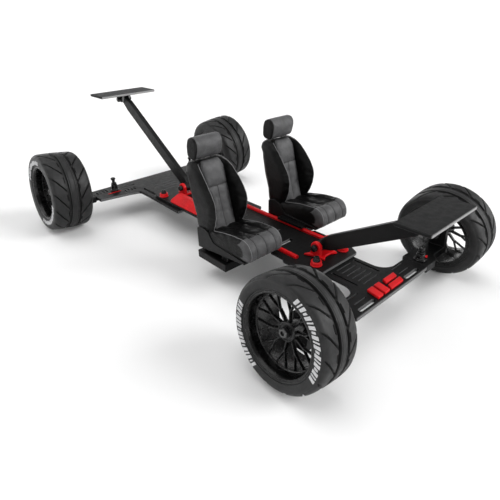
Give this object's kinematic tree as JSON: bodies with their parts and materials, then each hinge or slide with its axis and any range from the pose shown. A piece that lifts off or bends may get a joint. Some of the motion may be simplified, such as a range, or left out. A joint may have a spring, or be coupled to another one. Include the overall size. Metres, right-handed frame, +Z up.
{
  "type": "rolling chassis",
  "caption": "Slide-adjustable rolling chassis of a large-scale model car, with spoked wheels, bucket seats, body posts and folding arms that carry body platforms.",
  "frame": {"origin": "centre of the bounding box in plan, at the ground under the tyres", "axes": "+X to the car's left, +Y to the rear, +Z up"},
  "size_m": [0.3596, 0.568, 0.165],
  "materials": {
    "black_plastic": "fine matte grain",
    "red_plastic": "satin moulded",
    "rim_plastic": "satin moulded",
    "tyre_rubber": "matte rubber",
    "dark_steel": "black oxide",
    "seat_leather": "creased matte leather"
  },
  "bodies": {
    "chassis": {"floor_plate": "black_plastic", "side_rail_left": "red_plastic", "side_rail_right": "red_plastic", "front_arm_bracket": "red_plastic", "rear_arm_bracket": "red_plastic", "clamp_cup_front_left": "red_plastic", "clamp_cup_front_right": "red_plastic", "clamp_cup_rear_left": "red_plastic", "clamp_cup_rear_right": "red_plastic", "seat_pedestal_left": "black_plastic", "seat_frame_left": "black_plastic", "seat_cushion_left": "seat_leather", "seat_back_left": "seat_leather", "seat_pedestal_right": "black_plastic", "seat_frame_right": "black_plastic", "seat_cushion_right": "seat_leather", "seat_back_right": "seat_leather"},
    "front_end": {"front_end_plate": "black_plastic"},
    "rear_end": {"rear_end_plate": "black_plastic", "post_base_rear_left": "black_plastic", "post_base_rear_right": "black_plastic"},
    "axle_front_left": {"axle_bar_front_left": "black_plastic", "wheel_bolt_front_left": "dark_steel", "post_base_front_left": "black_plastic"},
    "wheel_front_left": {"rim_front_left": "rim_plastic", "tyre_front_left": "tyre_rubber"},
    "post_front_left": {"body_post_front_left": "black_plastic"},
    "clamp_screw_front_left": {"clamp_screw_front_left": "black_plastic"},
    "axle_front_right": {"axle_bar_front_right": "black_plastic", "wheel_bolt_front_right": "dark_steel", "post_base_front_right": "black_plastic"},
    "wheel_front_right": {"rim_front_right": "rim_plastic", "tyre_front_right": "tyre_rubber"},
    "post_front_right": {"body_post_front_right": "black_plastic"},
    "clamp_screw_front_right": {"clamp_screw_front_right": "black_plastic"},
    "axle_rear_left": {"axle_bar_rear_left": "black_plastic", "wheel_bolt_rear_left": "dark_steel"},
    "wheel_rear_left": {"rim_rear_left": "rim_plastic", "tyre_rear_left": "tyre_rubber"},
    "post_rear_left": {"body_post_rear_left": "black_plastic"},
    "clamp_screw_rear_left": {"clamp_screw_rear_left": "black_plastic"},
    "axle_rear_right": {"axle_bar_rear_right": "black_plastic", "wheel_bolt_rear_right": "dark_steel"},
    "wheel_rear_right": {"rim_rear_right": "rim_plastic", "tyre_rear_right": "tyre_rubber"},
    "post_rear_right": {"body_post_rear_right": "black_plastic"},
    "clamp_screw_rear_right": {"clamp_screw_rear_right": "black_plastic"},
    "front_arm": {"front_arm": "black_plastic"},
    "front_platform": {"front_platform": "black_plastic"},
    "front_arm_screw": {"front_arm_screw": "black_plastic"},
    "front_platform_screw": {"front_platform_screw": "black_plastic"},
    "rear_arm": {"rear_arm": "black_plastic"},
    "rear_platform": {"rear_platform": "black_plastic"},
    "rear_arm_screw": {"rear_arm_screw": "black_plastic"},
    "rear_platform_screw": {"rear_platform_screw": "black_plastic"},
    "headrest_left": {"headrest_left": "seat_leather"},
    "headrest_right": {"headrest_right": "seat_leather"}
  },
  "joints": [
    {"name": "front_end_slide", "type": "slide", "parent": "chassis", "child": "front_end", "axis": [0, 1, 0], "range_m": [-0.008, 0.008]},
    {"name": "rear_end_slide", "type": "slide", "parent": "chassis", "child": "rear_end", "axis": [0, 1, 0], "range_m": [-0.008, 0.008]},
    {"name": "axle_slide_front_left", "type": "slide", "parent": "front_end", "child": "axle_front_left", "axis": [1, 0, 0], "range_m": [0, 0.008]},
    {"name": "wheel_spin_front_left", "type": "hinge", "parent": "axle_front_left", "child": "wheel_front_left", "pos_m": [0.126, -0.226, 0.05103], "axis": [0.9877, 0, 0.1564], "continuous": true},
    {"name": "post_slide_front_left", "type": "slide", "parent": "axle_front_left", "child": "post_front_left", "axis": [0, 0, 1], "range_m": [0, 0.003]},
    {"name": "clamp_turn_front_left", "type": "hinge", "parent": "chassis", "child": "clamp_screw_front_left", "pos_m": [0.0225, -0.1635, 0.04], "axis": [0, 0, 1], "continuous": true},
    {"name": "axle_slide_front_right", "type": "slide", "parent": "front_end", "child": "axle_front_right", "axis": [-1, 0, 0], "range_m": [0, 0.008]},
    {"name": "wheel_spin_front_right", "type": "hinge", "parent": "axle_front_right", "child": "wheel_front_right", "pos_m": [-0.126, -0.226, 0.05103], "axis": [0.9877, 0, -0.1564], "continuous": true},
    {"name": "post_slide_front_right", "type": "slide", "parent": "axle_front_right", "child": "post_front_right", "axis": [0, 0, 1], "range_m": [0, 0.003]},
    {"name": "clamp_turn_front_right", "type": "hinge", "parent": "chassis", "child": "clamp_screw_front_right", "pos_m": [-0.0225, -0.1635, 0.04], "axis": [0, 0, 1], "continuous": true},
    {"name": "axle_slide_rear_left", "type": "slide", "parent": "rear_end", "child": "axle_rear_left", "axis": [1, 0, 0], "range_m": [0, 0.008]},
    {"name": "wheel_spin_rear_left", "type": "hinge", "parent": "axle_rear_left", "child": "wheel_rear_left", "pos_m": [0.148, 0.207, 0.05497], "axis": [0.9936, 0, 0.1132], "continuous": true},
    {"name": "post_slide_rear_left", "type": "slide", "parent": "rear_end", "child": "post_rear_left", "axis": [0, 0, 1], "range_m": [0, 0.005]},
    {"name": "clamp_turn_rear_left", "type": "hinge", "parent": "chassis", "child": "clamp_screw_rear_left", "pos_m": [0.034, 0.1155, 0.04], "axis": [0, 0, 1], "continuous": true},
    {"name": "axle_slide_rear_right", "type": "slide", "parent": "rear_end", "child": "axle_rear_right", "axis": [-1, 0, 0], "range_m": [0, 0.008]},
    {"name": "wheel_spin_rear_right", "type": "hinge", "parent": "axle_rear_right", "child": "wheel_rear_right", "pos_m": [-0.148, 0.207, 0.05497], "axis": [0.9936, 0, -0.1132], "continuous": true},
    {"name": "post_slide_rear_right", "type": "slide", "parent": "rear_end", "child": "post_rear_right", "axis": [0, 0, 1], "range_m": [0, 0.005]},
    {"name": "clamp_turn_rear_right", "type": "hinge", "parent": "chassis", "child": "clamp_screw_rear_right", "pos_m": [-0.034, 0.1155, 0.04], "axis": [0, 0, 1], "continuous": true},
    {"name": "front_arm_hinge", "type": "hinge", "parent": "chassis", "child": "front_arm", "pos_m": [0, -0.1525, 0.051], "axis": [-1, 0, 0], "range_deg": [-25, 60]},
    {"name": "front_platform_tilt", "type": "hinge", "parent": "front_arm", "child": "front_platform", "pos_m": [0, -0.2645, 0.1145], "axis": [-1, 0, 0], "range_deg": [-60, 18]},
    {"name": "front_arm_screw_turn", "type": "hinge", "parent": "chassis", "child": "front_arm_screw", "pos_m": [0, -0.1525, 0.051], "axis": [1, 0, 0], "continuous": true},
    {"name": "front_platform_screw_turn", "type": "hinge", "parent": "front_platform", "child": "front_platform_screw", "pos_m": [0, -0.2645, 0.1145], "axis": [1, 0, 0], "continuous": true},
    {"name": "rear_arm_hinge", "type": "hinge", "parent": "chassis", "child": "rear_arm", "pos_m": [0, 0.1005, 0.05], "axis": [1, 0, 0], "range_deg": [-28, 56]},
    {"name": "rear_platform_tilt", "type": "hinge", "parent": "rear_arm", "child": "rear_platform", "pos_m": [0, 0.2605, 0.155], "axis": [1, 0, 0], "range_deg": [-60, 18]},
    {"name": "rear_arm_screw_turn", "type": "hinge", "parent": "chassis", "child": "rear_arm_screw", "pos_m": [0, 0.1005, 0.05], "axis": [1, 0, 0], "continuous": true},
    {"name": "rear_platform_screw_turn", "type": "hinge", "parent": "rear_platform", "child": "rear_platform_screw", "pos_m": [0, 0.2605, 0.155], "axis": [1, 0, 0], "continuous": true},
    {"name": "headrest_slide_left", "type": "slide", "parent": "chassis", "child": "headrest_left", "axis": [0, 0, 1], "range_m": [0, 0.006]},
    {"name": "headrest_slide_right", "type": "slide", "parent": "chassis", "child": "headrest_right", "axis": [0, 0, 1], "range_m": [0, 0.006]}
  ]
}
